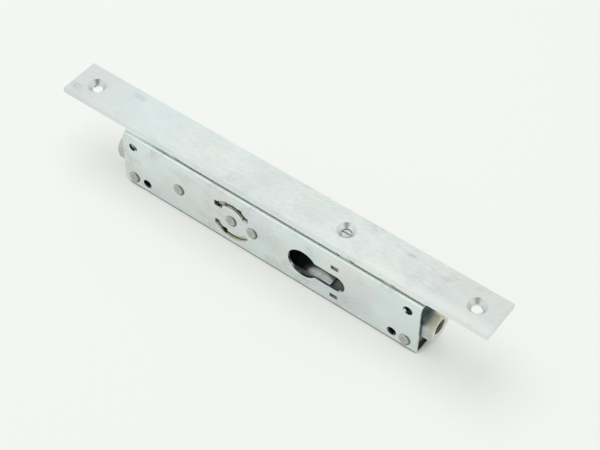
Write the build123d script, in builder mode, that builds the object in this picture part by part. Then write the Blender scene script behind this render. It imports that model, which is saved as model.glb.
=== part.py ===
from build123d import *
import os
from math import cos, radians, sin, tan

os.makedirs("parts", exist_ok=True)

# Sliding door espagnolette lock, in millimetres. X runs along the faceplate, Y across it and Z out of the
# door edge. The origin is under the middle of the lock, at the back of its case. The near side is -Y.

# Faceplate
plate_long = 250.0
plate_wide = 22.4
plate_thick = 3.3
plate_edge = 0.3
plate_hole_x = 112.5
plate_hole_radius = 2.65
sink_radius = 4.8
backset = 30.0

# Case, folded from sheet, with its lid riveted on the far side
case_long = 179.4
case_wide = 18.0
case_high = 34.8
axis_high = 16.8
sheet = 1.2
top_bend = 3.3
bottom_bend = 1.8
corner_round = 3.0
floor_window_left = 27.2
floor_window_right = 42.0
floor_window_wide = 12.0

# Cut-outs in both side walls, placed from the middle of the case and from the axis of the mechanism
key_x = 22.9
key_round_radius = 8.75
key_leg_wide = 10.4
key_leg_reach = 19.6
screw_hole_radius = 2.6
top_hole_x = 82.8
top_hole_rise = 11.7
bottom_hole_x = 75.3
bottom_hole_drop = 10.35
tab_slot_x = 41.5
tab_slot_rise = 10.6
tab_slot_long = 4.4
tab_slot_high = 2.5
arc_slot_wide = 3.2
arc_slot_half_angle = 50.0

# Rivets, sleeves, spacers and posts
rivet_radius = 2.0
rivet_head_radius = 3.3
rivet_head_high = 0.7
tail_head_radius = 3.0
dimple_radius = 0.9
sleeve_radius = 3.0
sleeve_bore = 2.05
spacer_radius = 4.0
spacer_bore = 3.05
corner_rivet_left_x = -83.9
corner_rivet_right_x = 82.7
corner_rivet_drop = 10.85
guide_left_x = -53.9
guide_right_x = -7.7
post_x = 66.0
post_radius = 4.0
tenon_radius = 2.5
tenon_head_radius = 3.3
tenon_head_high = 0.9

# Slotted set screw that holds the lock cylinder, and the threaded sleeve it runs in, between faceplate and case
cylinder_screw_x = 41.2
screw_radius = 2.5
screw_tip = 22.4
screw_point = 0.6
screw_end_drop = 2.3
screw_slot_wide = 0.9
screw_slot_deep = 1.2
screw_sleeve_radius = 4.5
screw_spigot_radius = 3.5

# Rotor: two cheeks on a hub, joined by two pins that each reach out into one slide
rotor_x = -20.6
swing = 38.0
pin_reach = 11.0
pin_radius = 2.5
cheek_tip_radius = 13.6
cheek_hub_radius = 7.6
cheek_wide = 11.0
cheek_thick = 2.0
hub_radius = 5.2

# Slides, with the couplings that the rods screw into
slide_thick = 2.0
layer_gap = 0.3
play = 0.15
cross_slot_wide = 5.6
slide_corner = 1.0
right_head_x = -34.0
jaw_hole_x = -25.6
jaw_hole_rise = -11.1
jaw_hole_side = 3.0
left_head_x = -8.0
left_body_x = -31.0
body_end_x = 58.4
tail_end_x = 81.0
tail_half = 5.5
key_window_half = 9.3
left_top_rise = 12.2
coupling_inner_x = 74.0
coupling_block_long = 15.3
coupling_block_high = 13.4
coupling_edge = 0.6
nut_across = 14.0
nut_long = 6.5
nut_face_radius = 6.9
nut_bevel = 30.0
coupling_thread_radius = 4.0
coupling_thread_deep = 14.0
coupling_rivet_x = 77.5
coupling_rivet_rise = 2.9
coupling_rivet_radius = 1.5
coupling_sink_radius = 2.4

# Drive lugs that the cylinder's cam pushes
lug_gap = 11.0
lug_long = 2.5
lug_low = 28.7
lug_high = 32.0
lug_end = 5.0
lug_pin_radius = 1.1

# Brake spring under the top of the case
spring_thick = 0.5
spring_pad_x = -71.0
spring_bend_x = -60.5
spring_touch_x = -50.0
spring_end_x = -46.6
spring_end_rise = 1.4
spring_near = 3.6
spring_gap = 0.1
spring_bend = 1.2

# Worked out from the dimensions above
plate_top = axis_high + backset
plate_under = plate_top - plate_thick
outer = case_wide / 2
inner = outer - sheet
roof = case_high - sheet
layer_out = inner - layer_gap
layer_in = layer_out - slide_thick
cheek_out = layer_in - layer_gap
cheek_in = cheek_out - cheek_thick
travel = 2 * pin_reach * sin(radians(swing))
slide_top = roof - 1.4
slide_foot = sheet + 0.4
guide_half = sleeve_radius + play
pin_low = axis_high + pin_reach * cos(radians(swing))
case_end = case_long / 2


def save(piece, name):
    """Labels a finished piece and writes it as one STEP file."""
    piece.label = name
    export_step(piece, f"parts/{name}.step")


def round_rotor(turn):
    """The point on the pins' circle at an angle in degrees from +X towards +Z."""
    return rotor_x + pin_reach * cos(radians(turn)), axis_high + pin_reach * sin(radians(turn))


def wall_openings():
    """The cut-outs that both side walls share, drawn in the XZ plane."""
    slot_start = 90 - arc_slot_half_angle
    with BuildSketch(Plane.XZ) as cuts:
        with Locations((key_x, axis_high)):
            Circle(key_round_radius)
            SlotCenterPoint((key_leg_reach / 2, 0), (key_leg_reach, 0), key_leg_wide)
        with Locations((-top_hole_x, axis_high + top_hole_rise), (top_hole_x, axis_high + top_hole_rise)):
            Circle(screw_hole_radius)
        with Locations(
            (-bottom_hole_x, axis_high - bottom_hole_drop), (bottom_hole_x, axis_high - bottom_hole_drop)
        ):
            Circle(screw_hole_radius)
        with Locations((tab_slot_x, axis_high + tab_slot_rise), (tab_slot_x, axis_high - tab_slot_rise)):
            Rectangle(tab_slot_long, tab_slot_high)
        for start in (slot_start, 180 + slot_start):
            finish = start + 2 * arc_slot_half_angle
            with BuildLine():
                CenterArc((rotor_x, axis_high), pin_reach + arc_slot_wide / 2, start, finish - start)
                CenterArc((rotor_x, axis_high), pin_reach - arc_slot_wide / 2, start, finish - start)
                CenterArc(round_rotor(start), arc_slot_wide / 2, start + 180, 180)
                CenterArc(round_rotor(finish), arc_slot_wide / 2, finish, 180)
            make_face()
        with Locations((rotor_x - 7.85, axis_high + 7.3)):
            Rectangle(4.9, 3.6)
        with Locations((rotor_x + 8.7, axis_high + 7.3)):
            Rectangle(3.6, 3.6)
        with Locations((rotor_x + 5.6, axis_high + 10.4)):
            Rectangle(2.6, 3.6)
        with Locations((rotor_x - 8.75, axis_high - 6.2)):
            Rectangle(3.4, 3.4)
        with Locations((rotor_x - 4.1, axis_high - 8.9)):
            Rectangle(2.8, 2.8)
        with Locations((rotor_x, axis_high), (guide_left_x, axis_high), (guide_right_x, axis_high)):
            Circle(rivet_radius)
        with Locations(
            (corner_rivet_left_x, axis_high - corner_rivet_drop), (corner_rivet_right_x, axis_high - corner_rivet_drop)
        ):
            Circle(rivet_radius)
    return cuts.sketch


def case_rivet(x, z):
    """A rivet across the case, with a dimpled head on the near side and a peened tail on the far side."""
    head = outer + rivet_head_high
    with BuildPart() as rivet:
        with BuildSketch(Plane((x, 0, z))):
            with BuildLine():
                Polyline(
                    (0, -head + 0.35),
                    (dimple_radius, -head),
                    (rivet_head_radius - 0.5, -head),
                    (rivet_head_radius, -head + 0.4),
                    (rivet_head_radius, -outer),
                    (rivet_radius, -outer),
                    (rivet_radius, outer),
                    (tail_head_radius, outer),
                    (tail_head_radius - 0.4, head),
                    (0, head),
                    close=True,
                )
            make_face()
        revolve(axis=Axis((x, 0, z), (0, 1, 0)))
    return rivet.part


def cross_tube(x, radius, bore, half, z=axis_high):
    """A tube across the case, centred between its walls."""
    with BuildPart() as piece:
        with BuildSketch(Plane.XZ.offset(-half)):
            with Locations((x, z)):
                Circle(radius)
                Circle(bore, mode=Mode.SUBTRACT)
        extrude(amount=2 * half)
    return piece.part


openings = wall_openings()

# Faceplate: a flat bar with three countersunk holes
with BuildPart() as faceplate:
    with BuildSketch(Plane.XY.offset(plate_under)):
        Rectangle(plate_long, plate_wide)
    extrude(amount=plate_thick)
    chamfer(faceplate.faces().sort_by(Axis.Z)[-1].edges(), length=plate_edge)
    with Locations(
        (-plate_hole_x, 0, plate_top), (cylinder_screw_x, 0, plate_top), (plate_hole_x, 0, plate_top)
    ):
        CounterSinkHole(radius=plate_hole_radius, counter_sink_radius=sink_radius, counter_sink_angle=90)
save(faceplate.part, "faceplate")

# Posts that hold the faceplate off the case, peened under its top. The left one also clamps the brake spring.
for side, clamped, name in ((-1, spring_thick, "faceplate_post_left"), (1, 0, "faceplate_post_right")):
    seat = roof - clamped
    with BuildPart() as faceplate_post:
        with BuildSketch(Plane.XZ.shift_origin((side * post_x, 0, 0))):
            with BuildLine():
                Polyline(
                    (0, seat - tenon_head_high),
                    (tenon_radius + 0.3, seat - tenon_head_high),
                    (tenon_head_radius, seat - 0.4),
                    (tenon_head_radius, seat),
                    (tenon_radius, seat),
                    (tenon_radius, case_high),
                    (post_radius, case_high),
                    (post_radius, plate_under),
                    (0, plate_under),
                    close=True,
                )
            make_face()
        revolve(axis=Axis((side * post_x, 0, 0), (0, 0, 1)))
    save(faceplate_post.part, name)

# Case body: near wall, top and floor folded from one sheet, open at both ends and on the far side
with BuildPart() as case_body:
    with BuildSketch(Plane.YZ.offset(-case_end)) as profile:
        with Locations(((inner - outer) / 2, case_high / 2)):
            Rectangle(outer + inner, case_high)
        fillet(profile.vertices().group_by(Axis.X)[0].sort_by(Axis.Y)[1], radius=top_bend)
        fillet(profile.vertices().group_by(Axis.X)[0].sort_by(Axis.Y)[0], radius=bottom_bend)
        with BuildSketch(mode=Mode.SUBTRACT) as hollow:
            with Locations((0, case_high / 2)):
                Rectangle(2 * inner, case_high - 2 * sheet)
            near_corners = hollow.vertices().group_by(Axis.X)[0].sort_by(Axis.Y)
            fillet(near_corners[1], radius=top_bend - sheet)
            near_foot = hollow.vertices().group_by(Axis.X)[0].sort_by(Axis.Y)
            fillet(near_foot[0], radius=bottom_bend - sheet)
    extrude(amount=case_long)
    with BuildSketch(Plane.XZ.offset(-outer)) as corner:
        with Locations((-case_end + corner_round / 2, corner_round / 2)):
            Rectangle(corner_round, corner_round)
        with Locations((-case_end + corner_round, corner_round)):
            Circle(corner_round, mode=Mode.SUBTRACT)
    extrude(amount=case_wide, mode=Mode.SUBTRACT)
    extrude(openings, amount=case_wide, mode=Mode.SUBTRACT)
    with BuildSketch(Plane.XY.offset(roof - 1)):
        with Locations((-post_x, 0), (post_x, 0)):
            Circle(tenon_radius)
        with Locations((cylinder_screw_x, 0)):
            Circle(screw_spigot_radius)
    extrude(amount=2 * sheet, mode=Mode.SUBTRACT)
    with BuildSketch(Plane.XY):
        with Locations(((floor_window_left + floor_window_right) / 2, 0)):
            Rectangle(floor_window_right - floor_window_left, floor_window_wide)
    extrude(amount=sheet, mode=Mode.SUBTRACT)
save(case_body.part, "case_body")

# Lid: the flat far wall
with BuildPart() as case_lid:
    with BuildSketch(Plane.XZ.offset(-outer)) as lid_outline:
        with Locations((0, case_high / 2)):
            Rectangle(case_long, case_high)
        fillet(lid_outline.vertices().sort_by(Axis.Y)[:2].sort_by(Axis.X)[0], radius=corner_round)
        add(openings, mode=Mode.SUBTRACT)
    extrude(amount=sheet)
save(case_lid.part, "case_lid")

# Rivets across the case, each with a sleeve that keeps the walls apart
rivet_places = (
    ("corner_rivet_left", "corner_sleeve_left", corner_rivet_left_x, axis_high - corner_rivet_drop),
    ("corner_rivet_right", "corner_sleeve_right", corner_rivet_right_x, axis_high - corner_rivet_drop),
    ("guide_rivet_left", "guide_sleeve_left", guide_left_x, axis_high),
    ("guide_rivet_right", "guide_sleeve_right", guide_right_x, axis_high),
    ("pivot_rivet", "pivot_sleeve", rotor_x, axis_high),
)
for rivet_name, sleeve_name, x, z in rivet_places:
    save(case_rivet(x, z), rivet_name)
    save(cross_tube(x, sleeve_radius, sleeve_bore, inner, z), sleeve_name)

# Spacers that keep each slide against its own wall
save(cross_tube(guide_left_x, spacer_radius, spacer_bore, cheek_out), "guide_spacer_left")
save(cross_tube(guide_right_x, spacer_radius, spacer_bore, cheek_out), "guide_spacer_right")

# Brake spring: a leaf that bears on the top edge of the left slide and stops the rods from dropping
spring_line = roof - spring_thick / 2
touch_line = axis_high + left_top_rise + spring_gap + spring_thick / 2
with BuildPart() as brake_spring:
    with BuildSketch(Plane.XZ.offset(-layer_out)):
        with BuildLine():
            FilletPolyline(
                (spring_pad_x, spring_line),
                (spring_bend_x, spring_line),
                (spring_touch_x, touch_line),
                (spring_end_x, touch_line + spring_end_rise),
                radius=spring_bend,
            )
        trace(line_width=spring_thick)
    extrude(amount=layer_out + spring_near)
    with BuildSketch(Plane.XY.offset(roof - 1)):
        with Locations((-post_x, 0)):
            Circle(tenon_radius)
    extrude(amount=2, mode=Mode.SUBTRACT)
save(brake_spring.part, "brake_spring")

# Cylinder screw: a headless screw, slotted at the end that shows in the faceplate's middle hole
screw_end = plate_top - screw_end_drop
with BuildPart() as cylinder_screw:
    with BuildSketch(Plane.XZ.shift_origin((cylinder_screw_x, 0, 0))):
        with BuildLine():
            Polyline(
                (0, screw_tip),
                (screw_radius - screw_point, screw_tip),
                (screw_radius, screw_tip + screw_point),
                (screw_radius, screw_end - plate_edge),
                (screw_radius - plate_edge, screw_end),
                (0, screw_end),
                close=True,
            )
        make_face()
    revolve(axis=Axis((cylinder_screw_x, 0, 0), (0, 0, 1)))
    with BuildSketch(Plane.XY.offset(screw_end)):
        with Locations((cylinder_screw_x, 0)):
            Rectangle(2 * screw_radius, screw_slot_wide)
    extrude(amount=-screw_slot_deep, mode=Mode.SUBTRACT)
save(cylinder_screw.part, "cylinder_screw")

with BuildPart() as screw_sleeve:
    with BuildSketch(Plane.XY.offset(case_high)):
        with Locations((cylinder_screw_x, 0)):
            Circle(screw_sleeve_radius)
            Circle(screw_radius, mode=Mode.SUBTRACT)
    extrude(amount=plate_under - case_high)
    with BuildSketch(Plane.XY.offset(roof)):
        with Locations((cylinder_screw_x, 0)):
            Circle(screw_spigot_radius)
            Circle(screw_radius, mode=Mode.SUBTRACT)
    extrude(amount=sheet)
save(screw_sleeve.part, "screw_sleeve")

# Rotor: drawn with its pins upright, then turned back to the withdrawn position
pivot = Axis((rotor_x, 0, axis_high), (0, 1, 0))
for side, name in ((-1, "rotor_cheek_near"), (1, "rotor_cheek_far")):
    far_face = cheek_out if side > 0 else -cheek_in
    with BuildPart() as rotor_cheek:
        with BuildSketch(Plane.XZ.offset(-far_face)):
            with Locations((rotor_x, axis_high)):
                Circle(cheek_tip_radius)
                Rectangle(cheek_wide, 3 * cheek_tip_radius, mode=Mode.INTERSECT)
                Circle(cheek_hub_radius)
                Circle(spacer_bore, mode=Mode.SUBTRACT)
            with Locations((rotor_x, axis_high + pin_reach), (rotor_x, axis_high - pin_reach)):
                Circle(pin_radius, mode=Mode.SUBTRACT)
        extrude(amount=cheek_thick)
    save(rotor_cheek.part.rotate(pivot, -swing), name)

save(cross_tube(rotor_x, hub_radius, spacer_bore, cheek_in), "rotor_hub")

pin_end = layer_out + play
for side, far_end, name in ((1, cheek_out, "rotor_pin_upper"), (-1, pin_end, "rotor_pin_lower")):
    with BuildPart() as rotor_pin:
        with BuildSketch(Plane.XZ.offset(-far_end)):
            with Locations((rotor_x, axis_high + side * pin_reach)):
                Circle(pin_radius)
        extrude(amount=pin_end + cheek_out)
    save(rotor_pin.part.rotate(pivot, -swing), name)

# Right slide: against the near wall, round the lock cylinder, forked over the rotor's pivot and its guide rivet
pin_shift = pin_reach * sin(radians(swing))
cross_slot_mid = (pin_low + axis_high + pin_reach) / 2
cross_slot_long = axis_high + pin_reach - pin_low + cross_slot_wide
window_left = key_x - key_round_radius - travel - 0.4
window_right = key_x + key_leg_reach + key_leg_wide / 2 + 0.6
lug_middle = key_x - travel / 2
lug_places = (lug_middle - (lug_gap + lug_long) / 2, lug_middle + (lug_gap + lug_long) / 2)
lug_axis = (lug_low + lug_high) / 2
with BuildPart() as right_slide:
    with BuildSketch(Plane.XZ.offset(layer_in)) as right_outline:
        with BuildLine():
            Polyline(
                (right_head_x, slide_top),
                (right_head_x, axis_high + guide_half),
                (guide_right_x + guide_half, axis_high + guide_half),
                (guide_right_x + guide_half, axis_high - guide_half),
                (right_head_x, axis_high - guide_half),
                (right_head_x, slide_foot),
                (body_end_x, slide_foot),
                (body_end_x, axis_high - tail_half),
                (tail_end_x, axis_high - tail_half),
                (tail_end_x, axis_high + tail_half),
                (body_end_x, axis_high + tail_half),
                (body_end_x, slide_top),
                close=True,
            )
        make_face()
        fillet(right_outline.vertices(), radius=slide_corner)
        with Locations(((window_left + window_right) / 2, axis_high)):
            RectangleRounded(
                window_right - window_left, 2 * key_window_half, radius=3 * slide_corner, mode=Mode.SUBTRACT
            )
        with Locations((rotor_x - pin_shift, cross_slot_mid)):
            SlotOverall(cross_slot_long, cross_slot_wide, rotation=90, mode=Mode.SUBTRACT)
        with Locations((rotor_x - pin_shift, (axis_high + cross_slot_mid) / 2)):
            Rectangle(cross_slot_wide, cross_slot_mid - axis_high, mode=Mode.SUBTRACT)
        with Locations((jaw_hole_x, axis_high + jaw_hole_rise)):
            Rectangle(jaw_hole_side, jaw_hole_side, mode=Mode.SUBTRACT)
        with Locations((lug_places[0], lug_axis), (lug_places[1], lug_axis)):
            Circle(lug_pin_radius, mode=Mode.SUBTRACT)
    extrude(amount=slide_thick)
    with Locations(
        Plane((coupling_rivet_x, -layer_out, axis_high + coupling_rivet_rise), z_dir=(0, -1, 0)),
        Plane((coupling_rivet_x, -layer_out, axis_high - coupling_rivet_rise), z_dir=(0, -1, 0)),
    ):
        CounterSinkHole(
            radius=coupling_rivet_radius, counter_sink_radius=coupling_sink_radius, counter_sink_angle=90
        )
save(right_slide.part, "right_slide")

# Left slide: against the far wall, its lower half under the rotor, slotted over its guide rivet
with BuildPart() as left_slide:
    with BuildSketch(Plane.XZ.offset(-layer_out)) as left_outline:
        with BuildLine():
            Polyline(
                (left_body_x, axis_high + left_top_rise),
                (left_body_x, axis_high - guide_half),
                (left_head_x, axis_high - guide_half),
                (left_head_x, slide_foot),
                (-body_end_x, slide_foot),
                (-body_end_x, axis_high - tail_half),
                (-tail_end_x, axis_high - tail_half),
                (-tail_end_x, axis_high + tail_half),
                (-body_end_x, axis_high + tail_half),
                (-body_end_x, axis_high + left_top_rise),
                close=True,
            )
        make_face()
        fillet(left_outline.vertices(), radius=slide_corner)
        with Locations((guide_left_x + travel / 2, axis_high)):
            SlotOverall(travel + 2 * (guide_half + play), 2 * guide_half, mode=Mode.SUBTRACT)
        with Locations((rotor_x + pin_shift, 2 * axis_high - cross_slot_mid)):
            SlotOverall(cross_slot_long, cross_slot_wide, rotation=90, mode=Mode.SUBTRACT)
    extrude(amount=slide_thick)
    with Locations(
        Plane((-coupling_rivet_x, layer_out, axis_high + coupling_rivet_rise), z_dir=(0, 1, 0)),
        Plane((-coupling_rivet_x, layer_out, axis_high - coupling_rivet_rise), z_dir=(0, 1, 0)),
    ):
        CounterSinkHole(
            radius=coupling_rivet_radius, counter_sink_radius=coupling_sink_radius, counter_sink_angle=90
        )
save(left_slide.part, "left_slide")

# Couplings: a block with a hexagonal end, threaded for the rod, held to its slide by two rivets
nut_start = coupling_inner_x + coupling_block_long
nut_end = nut_start + nut_long
nut_corner = nut_across / 2 / cos(radians(30))
with BuildPart() as nut:
    with BuildSketch(Plane.YZ.offset(nut_start)):
        with Locations((0, axis_high)):
            RegularPolygon(nut_corner, 6, rotation=30)
    extrude(amount=nut_long)
    with BuildSketch(Plane.XZ):
        with BuildLine():
            Polyline(
                (nut_start, axis_high),
                (nut_start, axis_high + nut_corner),
                (nut_end - (nut_corner - nut_face_radius) * tan(radians(nut_bevel)), axis_high + nut_corner),
                (nut_end, axis_high + nut_face_radius),
                (nut_end, axis_high),
                close=True,
            )
        make_face()
    revolve(axis=Axis((0, 0, axis_high), (1, 0, 0)), mode=Mode.INTERSECT)

with BuildPart() as right_coupling:
    with BuildSketch(Plane.YZ.offset(coupling_inner_x)):
        with Locations((0, axis_high)):
            Rectangle(2 * layer_in, coupling_block_high)
    extrude(amount=coupling_block_long)
    chamfer(right_coupling.edges().filter_by(Axis.X), length=coupling_edge)
    add(nut)
    with Locations(right_coupling.faces().sort_by(Axis.X)[-1]):
        CounterSinkHole(
            radius=coupling_thread_radius,
            counter_sink_radius=coupling_thread_radius + coupling_edge,
            depth=coupling_thread_deep,
            counter_sink_angle=90,
        )
    with BuildSketch(Plane.XZ.offset(-layer_in)):
        with Locations(
            (coupling_rivet_x, axis_high + coupling_rivet_rise), (coupling_rivet_x, axis_high - coupling_rivet_rise)
        ):
            Circle(coupling_rivet_radius)
    extrude(amount=2 * layer_in, mode=Mode.SUBTRACT)
save(right_coupling.part, "right_coupling")
save(right_coupling.part.rotate(Axis.Z, 180), "left_coupling")

with BuildPart() as coupling_rivet:
    with BuildSketch(Plane((coupling_rivet_x, 0, axis_high + coupling_rivet_rise))):
        with BuildLine():
            Polyline(
                (0, -layer_out),
                (coupling_sink_radius, -layer_out),
                (coupling_rivet_radius, -layer_out + coupling_sink_radius - coupling_rivet_radius),
                (coupling_rivet_radius, layer_in),
                (0, layer_in),
                close=True,
            )
        make_face()
    revolve(axis=Axis((coupling_rivet_x, 0, axis_high + coupling_rivet_rise), (0, 1, 0)))
lower_rivet = coupling_rivet.part.moved(Location((0, 0, -2 * coupling_rivet_rise)))
rivet_pair = Compound(children=[coupling_rivet.part, lower_rivet])
save(rivet_pair, "right_coupling_rivets")
save(rivet_pair.rotate(Axis.Z, 180), "left_coupling_rivets")

# Drive lugs: two bars that stand from the right slide into the path of the cylinder's cam
for x, name in ((lug_places[0], "drive_lug_left"), (lug_places[1], "drive_lug_right")):
    with BuildPart() as drive_lug:
        with BuildSketch(Plane.XZ.offset(-lug_end)):
            with Locations((x, lug_axis)):
                RectangleRounded(lug_long, lug_high - lug_low, radius=0.4)
        extrude(amount=lug_end + layer_in)
        with BuildSketch(Plane.XZ.offset(layer_in)):
            with Locations((x, lug_axis)):
                Circle(lug_pin_radius)
        extrude(amount=slide_thick)
    save(drive_lug.part, name)
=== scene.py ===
"""Finishes and studio of the sliding door espagnolette lock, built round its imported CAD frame.

Lengths are metres, in the frame of the CAD: X runs along the faceplate, Y across the case
and Z out of the door's edge. The camera stands where the photograph was taken from.
"""

import math

import bpy
import numpy as np
from bpy.props import FloatProperty, FloatVectorProperty, IntProperty, PointerProperty
from bpy.types import Operator, Panel, PropertyGroup
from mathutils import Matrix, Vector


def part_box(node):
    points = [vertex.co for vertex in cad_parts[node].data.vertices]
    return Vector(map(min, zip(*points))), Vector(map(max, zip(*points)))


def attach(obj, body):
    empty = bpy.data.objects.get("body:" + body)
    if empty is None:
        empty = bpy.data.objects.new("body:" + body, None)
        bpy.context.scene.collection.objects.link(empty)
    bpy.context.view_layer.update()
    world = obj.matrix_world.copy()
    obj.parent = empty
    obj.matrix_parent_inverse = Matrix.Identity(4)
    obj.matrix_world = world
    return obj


bl_info = {
    "name": "Espagnolette lock finishes",
    "version": (1, 0, 0),
    "blender": (4, 5, 0),
    "location": "View3D > Sidebar > Lock",
    "description": "Zinc and steel finishes, rod threads and a pale studio for a lock",
    "category": "Object",
}

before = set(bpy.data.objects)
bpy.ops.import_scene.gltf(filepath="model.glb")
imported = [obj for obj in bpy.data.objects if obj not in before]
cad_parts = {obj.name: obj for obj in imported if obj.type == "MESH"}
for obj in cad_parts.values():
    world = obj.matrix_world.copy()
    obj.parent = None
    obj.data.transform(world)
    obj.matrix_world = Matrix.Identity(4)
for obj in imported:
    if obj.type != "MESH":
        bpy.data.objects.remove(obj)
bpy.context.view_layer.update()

MM = 0.001
BORE_HEIGHT = 16.8 * MM
FLOOR_HEIGHT = -0.02 * MM

FACEPLATE_NODES = ("faceplate", "faceplate_post_left", "faceplate_post_right", "screw_sleeve")
CASE_NODES = ("case_body", "case_lid")
RIVET_NODES = (
    "corner_rivet_left",
    "corner_rivet_right",
    "guide_rivet_left",
    "guide_rivet_right",
    "pivot_rivet",
)
TURNED_NODES = (
    "corner_sleeve_left",
    "corner_sleeve_right",
    "guide_sleeve_left",
    "guide_sleeve_right",
    "pivot_sleeve",
    "guide_spacer_left",
    "guide_spacer_right",
    "rotor_hub",
    "rotor_pin_upper",
    "rotor_pin_lower",
)
SPRING_NODES = ("brake_spring",)
SCREW_NODES = ("cylinder_screw",)
SLIDE_NODES = (
    "rotor_cheek_near",
    "rotor_cheek_far",
    "left_slide",
    "right_slide",
    "drive_lug_left",
    "drive_lug_right",
)
COUPLING_NODES = (
    "left_coupling",
    "left_coupling_rivets",
    "right_coupling",
    "right_coupling_rivets",
)

# The ridge of the rod thread: its top before it is held at one, and the slope of its flanks.
RIDGE_TOP = 1.9
RIDGE_SLOPE = 4.4

# The plate's second set of strokes crosses the first at its own angle, and is longer and wider
# by these factors. The first set has this share of the grain.
CROSSING_TURN = math.radians(8)
CROSSING_LENGTH = 1.8
CROSSING_WIDTH = 1.5
STROKE_SHARE = 0.65

# Zones of the zinc: a lowest and a highest corner, in mm.
PLATE_UNDERSIDE = ((-126, -12, 42.5), (126, 12, 43.6))
CASE_INSIDE = ((-90.5, -7.9, 1.5), (90.5, 7.9, 33.7))
CASE_FLOOR = ((-90, -8, 1.0), (90, 8, 1.5))
CASE_TOP = ((-91, -8.2, 34.75), (91, 8.2, 36))

# Scuffs: a centre and a size in mm, and on the case how strong each one is.
PLATE_SCUFFS = (
    ((-90.4, 6.9, 46.8), (5.0, 2.2, 1.5)),
    ((-120.8, -6.2, 46.8), (4.0, 3.2, 1.5)),
    ((72.9, 5.9, 46.8), (3.6, 1.6, 1.5)),
)
CASE_SCUFFS = (
    ((3, -9, 20), (17, 3, 10), 0.9),
    ((51, -9, 10), (20, 3, 8), 0.8),
    ((-38, -9, 9), (9, 3, 3), 0.9),
)
CASE_STREAK_PATCH = ((-50, -9, 29), (15, 3, 4.5))
SCUFF_GRAIN = 900.0

# Tones that the finishes turn to; a groove tone multiplies the colour that it lies in. The edge
# tones are painted highlights along the edges.
PLATE_GROOVES = (0.74, 0.76, 0.77)
# Grey of the faceplate's ends: partly the zinc's own tone, partly painted shade.
PLATE_ENDS_TONE_AND_SHADE = (0.71, 0.71, 0.71)
# Lighter tone towards the faceplate's front right.
PLATE_FRONT_RIGHT_LIGHTER = (0.92, 0.94, 0.93)
PLATE_SMUDGE = (0.40, 0.42, 0.43)
PLATE_EDGE_HIGHLIGHT = (0.86, 0.88, 0.88)
# Painted light: the faceplate's underside is paler, so that the band which reflects it is brighter.
PLATE_UNDER_LIGHT = (0.95, 0.98, 0.95)
SHEET_GROOVES = (0.80, 0.80, 0.80)
SHEET_SMUDGE = (0.42, 0.43, 0.43)
SHEET_EDGE_HIGHLIGHT = (0.84, 0.87, 0.87)
# Painted shade on the floor inside the case.
SHEET_FLOOR_SHADE = (0.30, 0.30, 0.28)
# Painted reflection: the case's top is pale, from blue to sage, for the band under the faceplate.
BAND_REFLECTION_SAGE = (0.94, 0.98, 0.95)
BAND_REFLECTION_BLUE = (0.78, 0.90, 0.95)
RIVET_SHADE = (0.13, 0.14, 0.13)
YELLOW_COOL = (0.56, 0.65, 0.52)
YELLOW_STRAW = (0.78, 0.70, 0.42)
YELLOW_ROSE = (0.68, 0.56, 0.48)
YELLOW_WORN = (0.46, 0.51, 0.52)
YELLOW_GROOVES = (0.7, 0.7, 0.66)
YELLOW_EDGE_HIGHLIGHT = (0.76, 0.74, 0.62)
CAST_COOL = (0.46, 0.56, 0.60)
CAST_STRAW = (0.62, 0.58, 0.42)
CAST_ROSE = (0.60, 0.54, 0.50)
# Painted shade: the right coupling's block, inside the case, is dark blue.
CAST_BLOCK_SHADE = (0.34, 0.43, 0.47)
# Painted light: the right coupling's end face is pale.
CAST_END_FACE_LIGHT = (0.90, 0.92, 0.89)
CAST_UPPER_FLATS = (0.64, 0.59, 0.43)
CAST_LEFT = (0.62, 0.60, 0.56)
# Painted shade in the couplings' bores.
CAST_BORE_SHADE = (0.16, 0.17, 0.13)
CAST_PITS = (0.72, 0.74, 0.73)
CAST_EDGE_HIGHLIGHT = (0.84, 0.86, 0.81)

# Paper floor: the shares of open air between which it turns to glow and to pale, and the
# distances in metres between which all of it glows. Where it is shut in, its colour is painted
# the dark below, a painted shade.
GLOW_OPENNESS = (0.32, 0.5)
PALE_OPENNESS = (0.26, 0.44)
FAR_PAPER = (0.4, 1.0)
SHUT_IN_SHADE = (0.03, 0.035, 0.035)
PAPER_FIBRES = 400.0

# Camera, fitted to the photograph: place in metres, turn in degrees.
CAMERA_PLACE = (0.280656, -0.359693, 0.566648)
CAMERA_TURN = (39.8714, -0.5154, 37.1162)
SENSOR_WIDTH = 36.0
NEAREST, FARTHEST = 0.01, 30.0

# Where the lamp stands, and which way the parts of the room lie that reflections see. A part
# fades in between two cosines of the angle from the middle of it.
BOX_DIRECTION = (-0.14, 0.04, 1.0)
DARK_SIDE = (0.387, -0.51, 0.768)
DARK_FADE = 0.08
STRIP_SIDE = (-0.36, -0.42, 0.83)
STRIP_COSINES = (0.955, 0.98)
PANEL_SIDE = (-0.387, 0.51, 0.768)
PANEL_COSINES = (0.94, 1.0)


def colour_prop(name, description, default):
    """A linear colour of three parts."""
    return FloatVectorProperty(
        name=name, description=description, default=default, size=3, min=0, max=1, subtype="COLOR"
    )


def length_prop(name, description, default):
    """A length in metres."""
    return FloatProperty(
        name=name, description=description, default=default, min=0, unit="LENGTH", precision=5
    )


def share_prop(name, description, default):
    """A share from nothing to all."""
    return FloatProperty(
        name=name, description=description, default=default, min=0, max=1, subtype="FACTOR"
    )


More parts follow.
